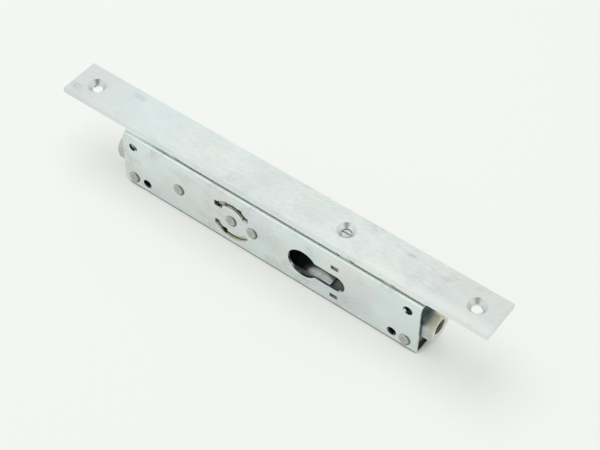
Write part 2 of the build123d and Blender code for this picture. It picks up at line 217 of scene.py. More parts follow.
class LockFinishes(PropertyGroup):
    """Colours and surface grain of the lock's metals."""

    plate_colour: colour_prop(
        "Faceplate zinc", "Bright zinc of the thick faceplate", (0.85, 0.895, 0.905)
    )
    sheet_colour: colour_prop(
        "Case zinc", "Bright zinc of the folded case sheet", (0.79, 0.86, 0.865)
    )
    # Painted shade: the inside of the case is given this darker colour.
    inside_shade_colour: colour_prop("Case inside", "Dull plating inside the case", (0.33, 0.41, 0.43))
    cool_tint: colour_prop("Cool bloom", "Blue bloom of clear passivated zinc", (0.68, 0.80, 0.84))
    warm_tint: colour_prop("Straw bloom", "Straw bloom of passivated zinc", (0.78, 0.80, 0.73))
    rose_tint: colour_prop("Rose bloom", "Faint rose bloom of passivated zinc", (0.76, 0.73, 0.74))
    rivet_colour: colour_prop("Rivet steel", "Plain steel of the rivet heads", (0.60, 0.62, 0.59))
    turned_colour: colour_prop("Turned steel", "Turned sleeves and pins", (0.50, 0.51, 0.49))
    spring_colour: colour_prop("Spring steel", "Blued leaf of the brake", (0.22, 0.25, 0.27))
    screw_colour: colour_prop("Screw zinc", "Plated cylinder screw", (0.78, 0.81, 0.80))
    yellow_colour: colour_prop(
        "Yellow passivation", "Straw coloured slides and cheeks", (0.76, 0.75, 0.54)
    )
    cast_colour: colour_prop("Cast zinc", "Cast rod couplings", (0.64, 0.73, 0.73))
    stroke_length: length_prop("Stroke length", "Length of one brushed stroke", 3.0 * MM)
    stroke_width: length_prop("Stroke width", "Width of one brushed stroke", 0.5 * MM)
    stroke_turn: FloatProperty(
        name="Stroke turn",
        description="Angle of the brushed strokes from the plate's length",
        default=math.radians(13),
        subtype="ANGLE",
    )
    roll_length: length_prop("Rolling length", "Length of a rolling streak on the sheet", 16 * MM)
    roll_width: length_prop("Rolling width", "Width of a rolling streak on the sheet", 0.5 * MM)
    bloom_size: length_prop("Bloom size", "Size of one patch of passivation colour", 22 * MM)
    edge_radius: length_prop("Edge radius", "How far a broken edge catches the light", 0.25 * MM)


class RodThreadSizes(PropertyGroup):
    """Sizes of the threads inside the two rod couplings."""

    root_radius: length_prop("Root radius", "Radius at the bottom of the thread", 3.98 * MM)
    depth: length_prop("Depth", "Height of the thread above its root", 0.62 * MM)
    pitch: length_prop("Pitch", "Distance from one turn to the next", 1.25 * MM)
    wall: length_prop("Lining wall", "Thickness of the lining behind the root", 0.2 * MM)
    length: length_prop("Threaded length", "How far the thread goes in", 13 * MM)
    mouth: length_prop("Mouth", "Distance from the coupling's end to the first turn", 0.5 * MM)
    run_out: length_prop("Run out", "Length over which each end of the thread rises", 1.0 * MM)
    around: IntProperty(name="Steps round", description="Points round one turn", default=72, min=12)
    per_turn: IntProperty(
        name="Steps per pitch", description="Points along one pitch", default=12, min=4
    )


class FloorLipSizes(PropertyGroup):
    """Sizes of the lip in the window of the case's floor."""

    start: length_prop("Start", "Where the lip starts along the case", 27.25 * MM)
    length: length_prop("Length", "How far the lip reaches along the case", 6.75 * MM)
    width: length_prop("Width", "Width of the lip across the case", 11.9 * MM)
    low: length_prop("Low", "Height of the lip's underside", 0.1 * MM)
    thickness: length_prop("Thickness", "Thickness of the lip", 1.05 * MM)


class StudioSetup(PropertyGroup):
    """Floor, air, softbox and lens of the plain studio."""

    floor_colour: colour_prop("Floor", "Colour of the paper floor", (0.896, 0.913, 0.880))
    paper_glow: share_prop("Paper glow", "Share of the paper that shadows do not reach", 0.5)
    # The paper's painted shade: within this reach of walls its colour turns dark.
    shut_in_reach: length_prop("Shut in reach", "How near walls keep the paper dark", 40 * MM)
    floor_size: length_prop("Floor size", "Side of the square floor", 9.0)
    air_level: FloatProperty(
        name="Air level", description="Light that comes from all round", default=0.55, min=0
    )
    box_level: FloatProperty(
        name="Softbox level", description="Light that the lamp gives the floor", default=0.56, min=0
    )
    box_size: length_prop("Softbox size", "Side of the square softbox", 1.0)
    box_distance: length_prop("Softbox distance", "From the lock to the softbox", 1.35)
    dark_colour: colour_prop("Dark side", "Dark side of the studio", (0.10, 0.13, 0.13))
    dark_edge: FloatProperty(
        name="Dark edge", description="Cosine at which the dark side starts", default=0.89
    )
    panel_level: FloatProperty(
        name="Panel level",
        description="Brightness of the panel at the back left",
        default=1.14,
        min=0,
    )
    strip_level: FloatProperty(
        name="Strip level",
        description="Brightness of the strip at the front left",
        default=1.38,
        min=0,
    )
    lens: FloatProperty(name="Lens", description="Camera lens, in mm", default=88.276, min=1)


def add(tree, kind, **settings):
    """A new node of a kind in a tree, with its own settings."""
    node = tree.nodes.new(kind)
    for name, value in settings.items():
        setattr(node, name, value)
    return node


def give(tree, socket, value):
    """Gives an input a value or another socket."""
    if isinstance(value, bpy.types.NodeSocket):
        tree.links.new(value, socket)
    else:
        socket.default_value = value


def feed(tree, node, **values):
    """Gives a node's inputs, by name with spaces as underscores, a value or another socket."""
    for name, value in values.items():
        give(tree, node.inputs[name.replace("_", " ")], value)
    return node


def number(tree, operation, first, second=0.0, clamp=False):
    """One sum of two numbers or sockets."""
    node = add(tree, "ShaderNodeMath", operation=operation, use_clamp=clamp)
    for socket, value in zip(node.inputs, (first, second)):
        give(tree, socket, value)
    return node.outputs[0]


def times(tree, first, *others):
    """Numbers or sockets multiplied in turn."""
    for other in others:
        first = number(tree, "MULTIPLY", first, other)
    return first


def vector(tree, operation, *values):
    """One sum of vectors or sockets; a length and a dot product give a number."""
    node = add(tree, "ShaderNodeVectorMath", operation=operation)
    for socket, value in zip(node.inputs, values):
        give(tree, socket, value)
    return node.outputs["Value" if operation in ("LENGTH", "DOT_PRODUCT") else "Vector"]


def spread(tree, value, low, high, to_low=0.0, to_high=1.0):
    """A value from one range to another, held inside it."""
    node = add(tree, "ShaderNodeMapRange")
    feed(tree, node, Value=value, From_Min=low, From_Max=high, To_Min=to_low, To_Max=to_high)
    return node.outputs["Result"]


def between(tree, share, at_none, at_all):
    """A value between two ends, by a share."""
    return spread(tree, share, 0.0, 1.0, at_none, at_all)


def along(tree, part, start, end, at_start=0.0, at_end=1.0):
    """A share that runs from one place to another, both in mm, and is held beyond them."""
    return spread(tree, part, start * MM, end * MM, at_start, at_end)


def blend(tree, factor, first, second, kind="MIX"):
    """Two colours mixed by a factor."""
    node = add(tree, "ShaderNodeMix", data_type="RGBA", blend_type=kind)
    for index, value in ((0, factor), (6, first), (7, second)):
        plain = index and not isinstance(value, bpy.types.NodeSocket)
        give(tree, node.inputs[index], (*value[:3], 1.0) if plain else value)
    return node.outputs[2]


def grooved(tree, depth, colour, tone):
    """A colour that turns, by a depth, to itself multiplied by a tone."""
    return blend(tree, depth, colour, blend(tree, 1.0, colour, tone, "MULTIPLY"))


def mix_shaders(tree, factor, first, second):
    """Two shaders mixed by a factor."""
    node = add(tree, "ShaderNodeMixShader")
    for socket, value in zip(node.inputs, (factor, first, second)):
        give(tree, socket, value)
    return node.outputs[0]


def seen_by(tree, *rays):
    """One for the named kinds of ray and nothing for the others."""
    path = add(tree, "ShaderNodeLightPath")
    seen = path.outputs[rays[0]]
    for ray in rays[1:]:
        seen = number(tree, "MAXIMUM", seen, path.outputs[ray])
    return seen


def grain_noise(tree, place, scale, detail=2.0, roughness=0.5):
    """Soft noise between nothing and one."""
    node = add(tree, "ShaderNodeTexNoise")
    feed(tree, node, Vector=place, Scale=scale, Detail=detail, Roughness=roughness)
    return node.outputs["Fac"]


def mottled(tree, place, size):
    """Fine mottling: the noise itself, and its middle part stretched from nothing to one."""
    mottle = grain_noise(tree, place, 1.0 / size, detail=4.0, roughness=0.65)
    return mottle, spread(tree, mottle, 0.32, 0.68)


def new_group(name, inputs, outputs):
    """An empty node group with named sockets, and the ends that its nodes join."""
    tree = bpy.data.node_groups.new(name, "ShaderNodeTree")
    for label, kind, default in inputs:
        socket = tree.interface.new_socket(name=label, in_out="INPUT", socket_type=kind)
        if default is not None:
            socket.default_value = default
    for label, kind in outputs:
        tree.interface.new_socket(name=label, in_out="OUTPUT", socket_type=kind)
    return tree, tree.nodes.new("NodeGroupInput"), tree.nodes.new("NodeGroupOutput")


def strokes_group():
    """Short strokes: noise whose space is stretched by a length one way and a width the others."""
    tree, ends, out = new_group(
        "short_strokes",
        (
            ("Vector", "NodeSocketVector", None),
            ("Length", "NodeSocketFloat", 0.002),
            ("Width", "NodeSocketFloat", 0.0003),
            ("Contrast", "NodeSocketFloat", 0.25),
        ),
        (("Strokes", "NodeSocketFloat"),),
    )
    cell = add(tree, "ShaderNodeCombineXYZ")
    feed(tree, cell, X=ends.outputs["Length"], Y=ends.outputs["Width"], Z=ends.outputs["Width"])
    scaled = vector(tree, "DIVIDE", ends.outputs["Vector"], cell.outputs[0])
    noise = grain_noise(tree, scaled, 1.0, detail=3.0, roughness=0.6)
    low = number(tree, "SUBTRACT", 0.5, ends.outputs["Contrast"])
    high = number(tree, "ADD", 0.5, ends.outputs["Contrast"])
    feed(tree, out, Strokes=spread(tree, noise, low, high))
    return tree


def bloom_group():
    """Passivation bloom: three slow noises each pull the base towards one tint."""
    tree, ends, out = new_group(
        "zinc_bloom",
        (
            ("Vector", "NodeSocketVector", None),
            ("Base", "NodeSocketColor", (0.7, 0.7, 0.7, 1)),
            ("Cool", "NodeSocketColor", (0.6, 0.7, 0.8, 1)),
            ("Straw", "NodeSocketColor", (0.7, 0.7, 0.6, 1)),
            ("Rose", "NodeSocketColor", (0.7, 0.6, 0.65, 1)),
            ("Patch", "NodeSocketFloat", 0.02),
            ("Amount", "NodeSocketFloat", 0.4),
        ),
        (("Colour", "NodeSocketColor"),),
    )
    colour = ends.outputs["Base"]
    scale = number(tree, "DIVIDE", 1.0, ends.outputs["Patch"])
    for label, offset in (("Cool", 3.1), ("Straw", 17.7), ("Rose", 41.3)):
        shift = (offset, offset * 0.7, offset * 1.3)
        moved = vector(tree, "ADD", ends.outputs["Vector"], shift)
        noise = grain_noise(tree, moved, scale, detail=1.5, roughness=0.45)
        share = times(tree, spread(tree, noise, 0.42, 0.68), ends.outputs["Amount"])
        colour = blend(tree, share, colour, ends.outputs[label])
    feed(tree, out, Colour=colour)
    return tree


def edge_group():
    """Broken edges: one less how well the rounded normal agrees with the flat one."""
    tree, ends, out = new_group(
        "broken_edges",
        (
            ("Radius", "NodeSocketFloat", 0.0003),
            ("Gain", "NodeSocketFloat", 4.0),
        ),
        (("Edge", "NodeSocketFloat"),),
    )
    bevel = add(tree, "ShaderNodeBevel", samples=4)
    feed(tree, bevel, Radius=ends.outputs["Radius"])
    flat = add(tree, "ShaderNodeNewGeometry")
    agreed = vector(tree, "DOT_PRODUCT", bevel.outputs[0], flat.outputs["Normal"])
    turned = number(tree, "SUBTRACT", 1.0, agreed)
    feed(tree, out, Edge=number(tree, "MULTIPLY", turned, ends.outputs["Gain"], clamp=True))
    return tree


def smudge_group():
    """Handling smudges: broad noise kept only above a level, broken by a finer one."""
    tree, ends, out = new_group(
        "handling_smudges",
        (
            ("Vector", "NodeSocketVector", None),
            ("Size", "NodeSocketFloat", 0.012),
            ("Level", "NodeSocketFloat", 0.58),
        ),
        (("Smudge", "NodeSocketFloat"),),
    )
    place, level = ends.outputs["Vector"], ends.outputs["Level"]
    scale = number(tree, "DIVIDE", 1.0, ends.outputs["Size"])
    broad = grain_noise(tree, place, scale, detail=2.0, roughness=0.6)
    fine = grain_noise(tree, place, times(tree, scale, 9.0), detail=3.0, roughness=0.7)
    patch = spread(tree, broad, level, number(tree, "ADD", level, 0.12))
    feed(tree, out, Smudge=times(tree, patch, spread(tree, fine, 0.35, 0.62)))
    return tree


def scuff_group():
    """One scuff: full at its centre and gone at its size, on an oval broken up by fine noise."""
    tree, ends, out = new_group(
        "rubbed_scuff",
        (
            ("Vector", "NodeSocketVector", None),
            ("Centre", "NodeSocketVector", None),
            ("Size", "NodeSocketVector", (0.004, 0.002, 0.002)),
        ),
        (("Scuff", "NodeSocketFloat"),),
    )
    away = vector(tree, "SUBTRACT", ends.outputs["Vector"], ends.outputs["Centre"])
    reach = vector(tree, "LENGTH", vector(tree, "DIVIDE", away, ends.outputs["Size"]))
    fine = grain_noise(tree, ends.outputs["Vector"], SCUFF_GRAIN, detail=2.0, roughness=0.6)
    patch = spread(tree, reach, 0.3, 1.0, to_low=1.0, to_high=0.0)
    feed(tree, out, Scuff=times(tree, patch, spread(tree, fine, 0.34, 0.66)))
    return tree


GROUP_MAKERS = {
    "short_strokes": strokes_group,
    "zinc_bloom": bloom_group,
    "broken_edges": edge_group,
    "handling_smudges": smudge_group,
    "rubbed_scuff": scuff_group,
}


def use_group(tree, name, **values):
    """A shared group placed in a material; each group is made once."""
    made = bpy.data.node_groups.get(name) or GROUP_MAKERS[name]()
    node = add(tree, "ShaderNodeGroup", node_tree=made)
    return feed(tree, node, **values).outputs[0]


def turned_place(tree, angle=0.0):
    """Object coordinates turned about Z."""
    place = add(tree, "ShaderNodeTexCoord").outputs["Object"]
    node = add(tree, "ShaderNodeMapping")
    feed(tree, node, Vector=place, Rotation=(0.0, 0.0, angle))
    return node.outputs[0]


def split(tree, place):
    """The X, Y and Z of a place."""
    node = add(tree, "ShaderNodeSeparateXYZ")
    tree.links.new(place, node.inputs[0])
    return tuple(node.outputs)


def within(tree, place, zone):
    """One inside a zone and nothing outside it."""
    inside = 1.0
    for part, least, most in zip(split(tree, place), *zone):
        above = number(tree, "GREATER_THAN", part, least * MM)
        inside = times(tree, inside, above, number(tree, "LESS_THAN", part, most * MM))
    return inside


def new_metal(name):
    """An empty metal material: its tree and its Principled shader."""
    material = bpy.data.materials.new(name + "_finish")
    material.use_nodes = True
    tree = material.node_tree
    tree.nodes.clear()
    shader = add(tree, "ShaderNodeBsdfPrincipled")
    out = add(tree, "ShaderNodeOutputMaterial")
    tree.links.new(shader.outputs[0], out.inputs["Surface"])
    shader.inputs["Metallic"].default_value = 1.0
    return material, tree, shader


def lay_on(tree, shader, colour, rough, height, strength, depth):
    """Joins a colour, a roughness and fine relief to the shader."""
    bump = add(tree, "ShaderNodeBump")
    feed(tree, bump, Height=height, Strength=strength, Distance=depth)
    feed(tree, shader, Base_Color=colour, Roughness=rough, Normal=bump.outputs[0])


def bloomed(tree, place, base, tints, patch, amount):
    """A base colour with the passivation's cool, straw and rose tints."""
    inputs = zip(("Base", "Cool", "Straw", "Rose"), (base, *tints))
    tones = {label: (*tone, 1) for label, tone in inputs}
    return use_group(tree, "zinc_bloom", Vector=place, Patch=patch, Amount=amount, **tones)


def zinc_tints(finishes):
    """The cool, straw and rose tints of clear passivated zinc."""
    return finishes.cool_tint, finishes.warm_tint, finishes.rose_tint


def strokes_on(tree, place, length, width, contrast):
    """Short strokes along X of the place that is given."""
    return use_group(
        tree, "short_strokes", Vector=place, Length=length, Width=width, Contrast=contrast
    )


def scuff_at(tree, place, centre, size):
    """One scuff, from a centre and a size in mm."""
    centre, size = (tuple(part * MM for part in parts) for parts in (centre, size))
    return use_group(tree, "rubbed_scuff", Vector=place, Centre=centre, Size=size)


def highlit_edges(tree, finishes, colour, bright, share, gain=3.0):
    """A colour that turns bright along the broken edges."""
    # Painted highlight: the colour brightens where the rounded normal parts from the flat one.
    edge = use_group(tree, "broken_edges", Radius=finishes.edge_radius, Gain=gain)
    return blend(tree, times(tree, edge, share), colour, bright)


def plate_zinc(finishes):
    """Brushed bright zinc: two sets of short strokes, bloom, smudges and bright edges.

    The strokes grow stronger towards the right, and the edges carry painted highlights. The left is
    cooler;
    both ends are greyer, partly the zinc's own tone and partly painted shade; the front right is
    lighter;
    and the underside is painted paler, a painted light that brightens the band which reflects it,
    and is smoother than the face.
    """
    material, tree, shader = new_metal("zinc_plate")
    place = turned_place(tree)
    x, y, _ = split(tree, place)
    strokes = strokes_on(
        tree,
        turned_place(tree, -finishes.stroke_turn),
        finishes.stroke_length,
        finishes.stroke_width,
        contrast=0.13,
    )
    crossing = strokes_on(
        tree,
        turned_place(tree, CROSSING_TURN),
        finishes.stroke_length * CROSSING_LENGTH,
        finishes.stroke_width * CROSSING_WIDTH,
        contrast=0.16,
    )
    grain = between(tree, STROKE_SHARE, crossing, strokes)
    base = bloomed(
        tree, place, finishes.plate_colour, zinc_tints(finishes), finishes.bloom_size, amount=0.3
    )
    brushed = times(tree, grain, along(tree, x, -110, 10, at_start=0.28, at_end=0.55))
    colour = grooved(tree, brushed, base, PLATE_GROOVES)
    leftward = along(tree, x, -40, -90, at_end=0.3)
    colour = blend(tree, leftward, colour, finishes.cool_tint)
    # Both ends turn greyer: partly the zinc's own tone, partly painted shade.
    ends = along(tree, number(tree, "ABSOLUTE", x), 85, 110, at_end=0.45)
    colour = blend(tree, ends, colour, PLATE_ENDS_TONE_AND_SHADE)
    # The front right turns lighter.
    front_right_lighter = times(tree, along(tree, x, 0, 60), along(tree, y, -4, -8), 0.4)
    colour = blend(tree, front_right_lighter, colour, PLATE_FRONT_RIGHT_LIGHTER)
    smudge = use_group(tree, "handling_smudges", Vector=place, Size=14 * MM, Level=0.6)
    for centre, size in PLATE_SCUFFS:
        scuff = times(tree, scuff_at(tree, place, centre, size), 2.4)
        smudge = number(tree, "MAXIMUM", smudge, scuff)
    soiled = number(tree, "MULTIPLY", smudge, 0.2, clamp=True)
    colour = blend(tree, soiled, colour, PLATE_SMUDGE)
    # Painted highlights along the edges.
    colour = highlit_edges(tree, finishes, colour, PLATE_EDGE_HIGHLIGHT, share=0.15)
    # Painted light: the underside turns paler.
    under = within(tree, place, PLATE_UNDERSIDE)
    colour = blend(tree, under, colour, PLATE_UNDER_LIGHT)
    rough = between(tree, grain, 0.28, 0.42)
    rough = number(tree, "ADD", rough, times(tree, smudge, 0.06))
    rough = number(tree, "SUBTRACT", rough, times(tree, under, 0.2))
    lay_on(tree, shader, colour, rough, grain, strength=0.35, depth=0.03 * MM)
    return material


def sheet_zinc(finishes):
    """Rolled zinc sheet: long streaks along the case, bloom, smudges and a patch of streaks.

    The inside is painted darker, a painted shade, and the floor inside darker still, also painted
    shade, and streaked. The top, which the band under the faceplate shows, is painted pale from
    blue at the left to sage, a painted reflection of the light in that band.
    """
    material, tree, shader = new_metal("zinc_sheet")
    place = turned_place(tree)
    x, _, _ = split(tree, place)
    streaks = strokes_on(tree, place, finishes.roll_length, finishes.roll_width, contrast=0.2)
    grain = strokes_on(tree, place, 1.2 * MM, 0.5 * MM, contrast=0.25)
    base = bloomed(
        tree, place, finishes.sheet_colour, zinc_tints(finishes), finishes.bloom_size, amount=0.5
    )
    colour = grooved(tree, times(tree, streaks, 0.5), base, SHEET_GROOVES)
    smudge = use_group(tree, "handling_smudges", Vector=place, Size=16 * MM, Level=0.54)
    for centre, size, share in CASE_SCUFFS:
        scuff = times(tree, scuff_at(tree, place, centre, size), share)
        smudge = number(tree, "MAXIMUM", smudge, scuff)
    strong_streaks = number(tree, "MULTIPLY", streaks, 1.6, clamp=True)
    rolled = times(tree, scuff_at(tree, place, *CASE_STREAK_PATCH), strong_streaks)
    smudge = number(tree, "MAXIMUM", smudge, rolled)
    colour = blend(tree, times(tree, smudge, 0.42), colour, SHEET_SMUDGE)
    # Painted highlights along the edges.
    colour = highlit_edges(tree, finishes, colour, SHEET_EDGE_HIGHLIGHT, share=0.3, gain=2.5)
    # Painted shade: the inside of the case turns darker.
    inside = within(tree, place, CASE_INSIDE)
    colour = blend(tree, inside, colour, finishes.inside_shade_colour)
    # Painted shade: the floor inside turns darker still, streaked.
    drawn = spread(tree, streaks, 0.2, 0.8, to_low=0.6, to_high=0.9)
    floor = times(tree, within(tree, place, CASE_FLOOR), drawn)
    colour = blend(tree, floor, colour, SHEET_FLOOR_SHADE)
    # Painted reflection: the top turns pale, blue at the left to sage.
    band = blend(tree, along(tree, x, -90, 20), BAND_REFLECTION_BLUE, BAND_REFLECTION_SAGE)
    colour = blend(tree, within(tree, place, CASE_TOP), colour, band)
    rough = between(tree, grain, 0.17, 0.24)
    rough = number(tree, "ADD", rough, times(tree, smudge, 0.08))
    rough = number(tree, "ADD", rough, times(tree, inside, 0.15))
    height = number(tree, "ADD", streaks, grain)
    lay_on(tree, shader, colour, rough, height, strength=0.2, depth=0.01 * MM)
    return material


def plain_steel(name, base, smoothest, roughest, highlit, mottle_size):
    """Bare or plated steel: fine mottling, worn edges and a roughness that follows the mottle."""

    def make(finishes):
        material, tree, shader = new_metal(name)
        mottle, tone = mottled(tree, turned_place(tree), mottle_size)
        pale = getattr(finishes, base)
        colour = blend(tree, tone, tuple(0.68 * part for part in pale), pale)
        # Painted highlights along the edges.
        colour = highlit_edges(tree, finishes, colour, highlit, share=0.5)
        rough = between(tree, tone, roughest, smoothest)
        lay_on(tree, shader, colour, rough, mottle, strength=0.25, depth=0.03 * MM)
        return material

    return make


def rivet_steel(finishes):
    """Peened steel: each head has a dimple, and a rim that darkens away from its set over centre.

    Reach is the distance from the nearest head's centre, in the plane of the heads and as a
    share of their radius. The rim's darkening and the dimple, a ring where reach is near 0.3, are
    painted shade.
    """
    material, tree, shader = new_metal("rivet_steel")
    place = turned_place(tree)
    mottle, tone = mottled(tree, place, 0.9 * MM)
    pale = finishes.rivet_colour
    colour = blend(tree, tone, tuple(0.72 * part for part in pale), pale)
    reach = 9.0
    for name in RIVET_NODES:
        low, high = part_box(name)
        radius = (high.x - low.x) / 2
        lean = 0.14 * radius
        middle_x = (low.x + high.x) / 2 - lean
        middle_z = (low.z + high.z) / 2 + lean
        shift = (-middle_x / radius, 0.0, -middle_z / radius)
        away = vector(tree, "MULTIPLY_ADD", place, (1 / radius, 0.0, 1 / radius), shift)
        reach = number(tree, "MINIMUM", reach, vector(tree, "LENGTH", away))
    # Painted shade: a dark rim, heavier to one side, and a dark ring for the dimple.
    rim = spread(tree, reach, 0.78, 1.0, to_high=0.8)
    off_ring = number(tree, "ABSOLUTE", number(tree, "SUBTRACT", reach, 0.3))
    dimple = times(tree, spread(tree, off_ring, 0.16, 0.04, to_high=0.55), tone)
    colour = blend(tree, number(tree, "MAXIMUM", rim, dimple), colour, RIVET_SHADE)
    rough = between(tree, tone, 0.5, 0.34)
    lay_on(tree, shader, colour, rough, mottle, strength=0.25, depth=0.03 * MM)
    return material


def yellow_zinc(finishes):
    """Straw passivation: the base drifts to green, rose and brown, and wears grey at the right."""
    material, tree, shader = new_metal("yellow_zinc")
    place = turned_place(tree)
    x, _, _ = split(tree, place)
    tints = (YELLOW_COOL, YELLOW_STRAW, YELLOW_ROSE)
    colour = bloomed(tree, place, finishes.yellow_colour, tints, patch=6 * MM, amount=0.6)
    colour = blend(tree, along(tree, x, 4, 10, at_end=0.85), colour, YELLOW_WORN)
    streaks = strokes_on(tree, place, 5 * MM, 0.4 * MM, contrast=0.25)
    colour = grooved(tree, times(tree, streaks, 0.6), colour, YELLOW_GROOVES)
    # Painted highlights along the edges.
    colour = highlit_edges(tree, finishes, colour, YELLOW_EDGE_HIGHLIGHT, share=0.5)
    rough = between(tree, streaks, 0.34, 0.46)
    lay_on(tree, shader, colour, rough, streaks, strength=0.25, depth=0.03 * MM)
    return material


def cast_zinc(finishes):
    """Cast zinc: a fine orange peel skin, cool on the flats with straw in the bloom.

    On the right coupling the block is painted dark blue as shade, the end face is painted pale as
    light, and the upper flats are straw. The left coupling is warmer, and both bores are painted
    dark as shade.
    """
    material, tree, shader = new_metal("cast_zinc")
    place = turned_place(tree)
    x, _, z = split(tree, place)
    tints = (CAST_COOL, CAST_STRAW, CAST_ROSE)
    colour = bloomed(tree, place, finishes.cast_colour, tints, patch=5 * MM, amount=0.7)
    # Painted shade: the right coupling's block turns dark blue.
    on_right = number(tree, "GREATER_THAN", x, 0.0)
    block = times(tree, along(tree, x, 92.5, 89, at_end=0.8), on_right)
    colour = blend(tree, block, colour, CAST_BLOCK_SHADE)
    # Painted light: the end face turns pale.
    colour = blend(tree, along(tree, x, 95.4, 95.7, at_end=0.55), colour, CAST_END_FACE_LIGHT)
    upper = times(tree, along(tree, z, 19.5, 22, at_end=0.75), along(tree, x, 90.5, 93))
    colour = blend(tree, upper, colour, CAST_UPPER_FLATS)
    colour = blend(tree, along(tree, x, 10, -10, at_end=0.7), colour, CAST_LEFT)
    # Painted shade: the bores turn dark.
    from_axis = vector(tree, "MULTIPLY_ADD", place, (0.0, 1.0, 1.0), (0.0, 0.0, -BORE_HEIGHT))
    bore = along(tree, vector(tree, "LENGTH", from_axis), 3.9, 4.15, at_start=1.0, at_end=0.0)
    colour = blend(tree, bore, colour, CAST_BORE_SHADE)
    skin = grain_noise(tree, place, 1 / (0.45 * MM), detail=3.0, roughness=0.6)
    pits = spread(tree, skin, 0.35, 0.65, to_low=0.6, to_high=0.0)
    colour = grooved(tree, pits, colour, CAST_PITS)
    # Painted highlights along the edges.
    colour = highlit_edges(tree, finishes, colour, CAST_EDGE_HIGHLIGHT, share=0.7)
    rough = spread(tree, skin, 0.3, 0.7, to_low=0.48, to_high=0.36)
    lay_on(tree, shader, colour, rough, skin, strength=0.3, depth=0.04 * MM)
    return material


MATERIAL_MAKERS = {
    "zinc_plate": plate_zinc,
    "zinc_sheet": sheet_zinc,
    "rivet_steel": rivet_steel,
    "turned_steel": plain_steel(
        "turned_steel",
        "turned_colour",
        smoothest=0.28,
        roughest=0.42,
        highlit=(0.66, 0.67, 0.66),
        mottle_size=1.2 * MM,
    ),
    "spring_steel": plain_steel(
        "spring_steel",
        "spring_colour",
        smoothest=0.26,
        roughest=0.38,
        highlit=(0.44, 0.48, 0.52),
        mottle_size=2.0 * MM,
    ),
    "screw_steel": plain_steel(
        "screw_steel",
        "screw_colour",
        smoothest=0.24,
        roughest=0.38,
        highlit=(0.82, 0.84, 0.83),
        mottle_size=1.0 * MM,
    ),
    "yellow_zinc": yellow_zinc,
    "cast_zinc": cast_zinc,
}


def finish_for(slot_name):
    """The one finished material of a record's material slot."""
    made = bpy.data.materials.get(slot_name + "_finish")
    return made or MATERIAL_MAKERS[slot_name](bpy.context.scene.lock_finishes)


def dress(node_names, slot_name):
    """Puts a slot's material on CAD nodes."""
    material = finish_for(slot_name)
    for name in node_names:
        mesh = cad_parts[name].data
        if mesh.materials:
            for index in range(len(mesh.materials)):
                mesh.materials[index] = material
        else:
            mesh.materials.append(material)


def new_piece(name, points, faces):
    """A mesh object of points and faces, in the scene."""
    mesh = bpy.data.meshes.new(name)
    mesh.from_pydata(points, [], faces)
    mesh.update()
    piece = bpy.data.objects.new(name, mesh)
    bpy.context.scene.collection.objects.link(piece)
    return piece


def thread_lining(name, inner_end, mouth_end, sizes):
    """A threaded lining, closed like a ring.

    Its points are (x, r cos a, r sin a) about the bore's axis. On the inside, r is the root's
    radius less the depth times a ridge. The ridge is its top less its slope times how far the
    phase, x / pitch - a / turn, is from a half, held between nothing and one, and it rises
    from nothing over the run out at both ends. The outside is a plain tube one wall behind the
    root, joined to the inside at both ends.
    """
    low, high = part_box(name.replace("_thread_lining", "_coupling"))
    middle = (low + high) / 2
    steps = max(2, int(round(sizes.length / sizes.pitch * sizes.per_turn)))
    x_inside = np.linspace(inner_end, mouth_end, steps + 1)
    angle = np.linspace(0, 2 * np.pi, sizes.around, endpoint=False)
    x_grid, a_grid = np.meshgrid(x_inside, angle, indexing="ij")
    phase = np.mod(x_grid / sizes.pitch - a_grid / (2 * np.pi), 1.0)
    ridge = np.clip(RIDGE_TOP - RIDGE_SLOPE * np.abs(phase - 0.5), 0, 1)
    rise = np.clip(np.abs(mouth_end - x_grid) / sizes.run_out, 0, 1)
    fall = np.clip(np.abs(x_grid - inner_end) / sizes.run_out, 0, 1)
    radius = sizes.root_radius - sizes.depth * ridge * rise * fall
    outer = np.full((2, sizes.around), sizes.root_radius + sizes.wall)
    x_outer = np.repeat([[mouth_end], [inner_end]], sizes.around, axis=1)
    x_all = np.vstack((x_grid, x_outer))
    r_all = np.vstack((radius, outer))
    a_all = np.vstack((a_grid, a_grid[:2]))
    points = np.stack(
        (x_all, middle.y + r_all * np.cos(a_all), BORE_HEIGHT + r_all * np.sin(a_all)), axis=-1
    )
    loops, around = r_all.shape
    first = np.arange(loops)[:, None] * around + np.arange(around)[None, :]
    ahead = np.roll(first, -1, axis=0)
    quads = np.stack(
        (first, np.roll(first, -1, axis=1), np.roll(ahead, -1, axis=1), ahead), axis=-1
    ).reshape(-1, 4)
    if mouth_end > inner_end:
        quads = quads[:, ::-1]
    piece = new_piece(name, points.reshape(-1, 3).tolist(), quads.tolist())
    piece.data.shade_smooth()
    return piece


def plain_box(name, low, high):
    """A box: every pairing of a low or high x, y and z, with its six sides facing outwards."""
    corners = np.stack(np.meshgrid(*zip(low, high), indexing="ij"), axis=-1).reshape(-1, 3)
    sides = [(0, 1, 3, 2), (4, 6, 7, 5), (0, 4, 5, 1), (2, 3, 7, 6), (0, 2, 6, 4), (1, 5, 7, 3)]
    return new_piece(name, corners.tolist(), sides)


class LOCK_OT_faceplate(Operator):
    """Brushed bright zinc on the faceplate, its posts and the screw's sleeve"""

    bl_idname = "lock.finish_faceplate"
    bl_label = "Finish the faceplate"

    def execute(self, context):
        dress(FACEPLATE_NODES, "zinc_plate")
        return {"FINISHED"}


class LOCK_OT_case(Operator):
    """Rolled zinc sheet on the folded case and its lid"""

    bl_idname = "lock.finish_case"
    bl_label = "Finish the case"

    def execute(self, context):
        dress(CASE_NODES, "zinc_sheet")
        return {"FINISHED"}


class LOCK_OT_rivets(Operator):
    """Plain steel on the five rivets"""

    bl_idname = "lock.finish_rivets"
    bl_label = "Finish the rivets"

    def execute(self, context):
        dress(RIVET_NODES, "rivet_steel")
        return {"FINISHED"}


